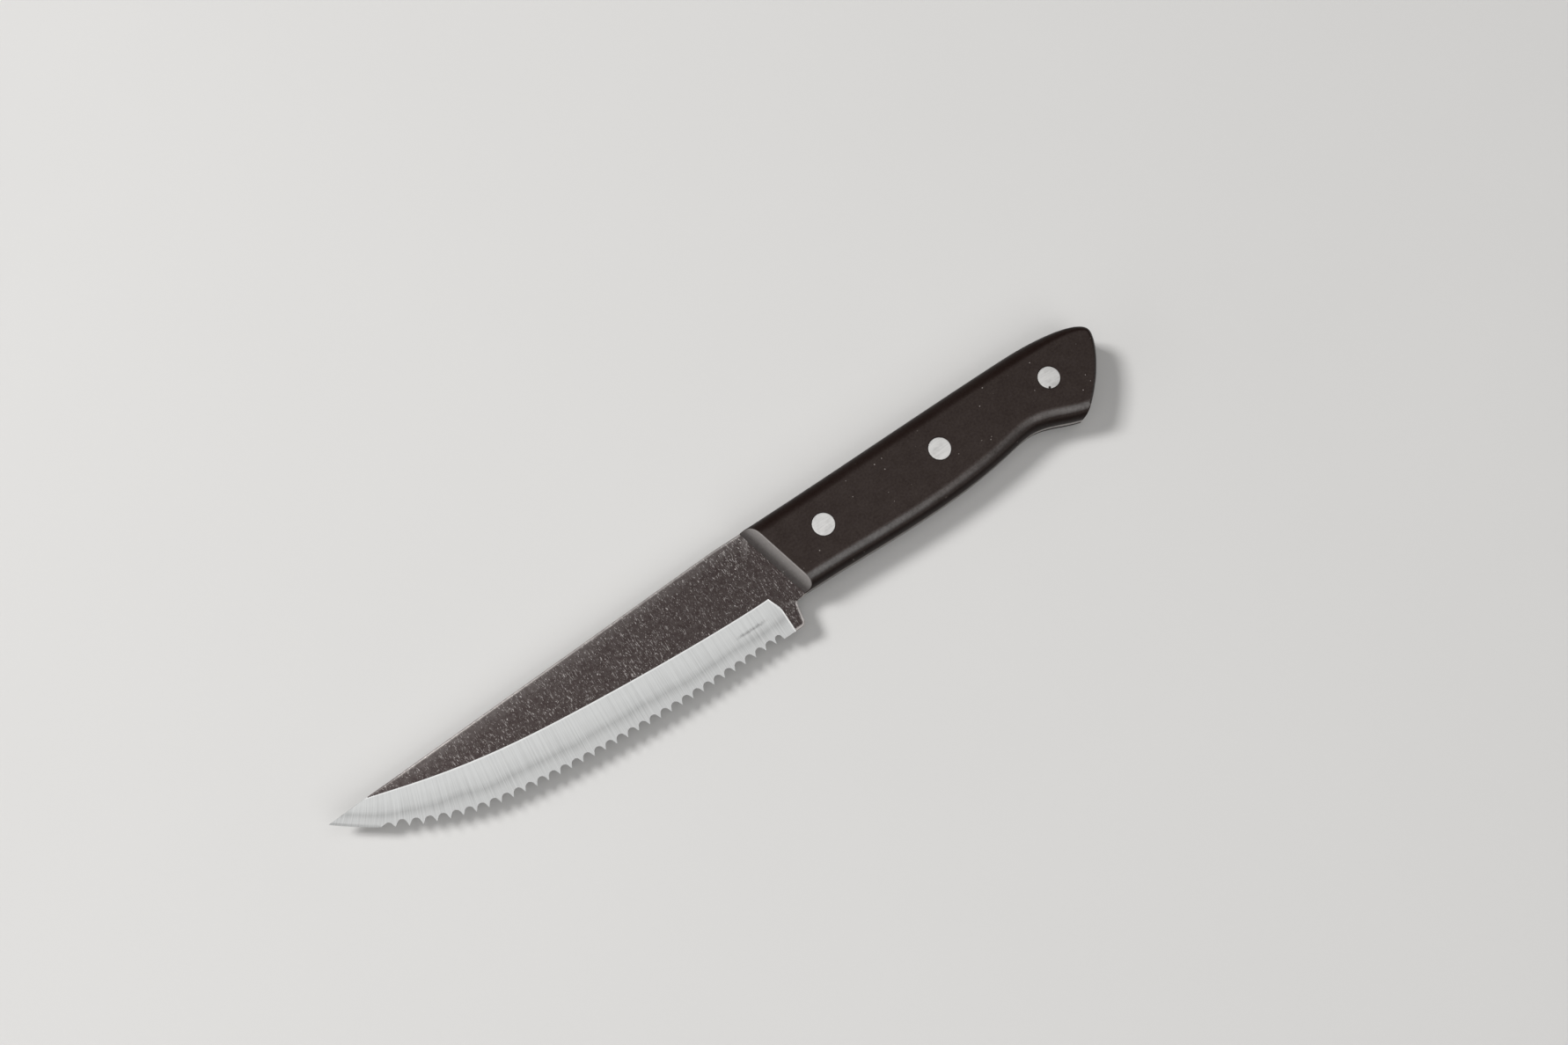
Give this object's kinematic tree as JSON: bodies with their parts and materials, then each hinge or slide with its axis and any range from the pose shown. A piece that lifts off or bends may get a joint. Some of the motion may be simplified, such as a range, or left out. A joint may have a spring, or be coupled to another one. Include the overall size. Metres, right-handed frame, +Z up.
{
  "type": "steak knife",
  "caption": "Full-tang steak knife with a pointed serrated blade, wide ground bevel, hooked black moulded handle scales and flush compression rivets.",
  "frame": {"origin": "centre of the bounding box at the bottom: the knife lies on its right side and the outer face of the right scale is at z = 0", "axes": "+X from the point to the butt, +Y from the edge to the spine, +Z up through the thickness, from the right scale to the left scale"},
  "size_m": [0.232, 0.0296, 0.012],
  "materials": {
    "blade_steel": "dark tumbled flats, bright cross-ground grind, satin",
    "scale_plastic": "black moulded acetal, satin, slightly polished at the rolled edges",
    "rivet_steel": "fine sanded, flush with the scales"
  },
  "bodies": {
    "root": {"blade": "blade_steel", "left_scale": "scale_plastic", "right_scale": "scale_plastic", "front_rivet_post": "rivet_steel", "front_rivet_sleeve": "rivet_steel", "middle_rivet_post": "rivet_steel", "middle_rivet_sleeve": "rivet_steel", "rear_rivet_post": "rivet_steel", "rear_rivet_sleeve": "rivet_steel"}
  },
  "joints": []
}
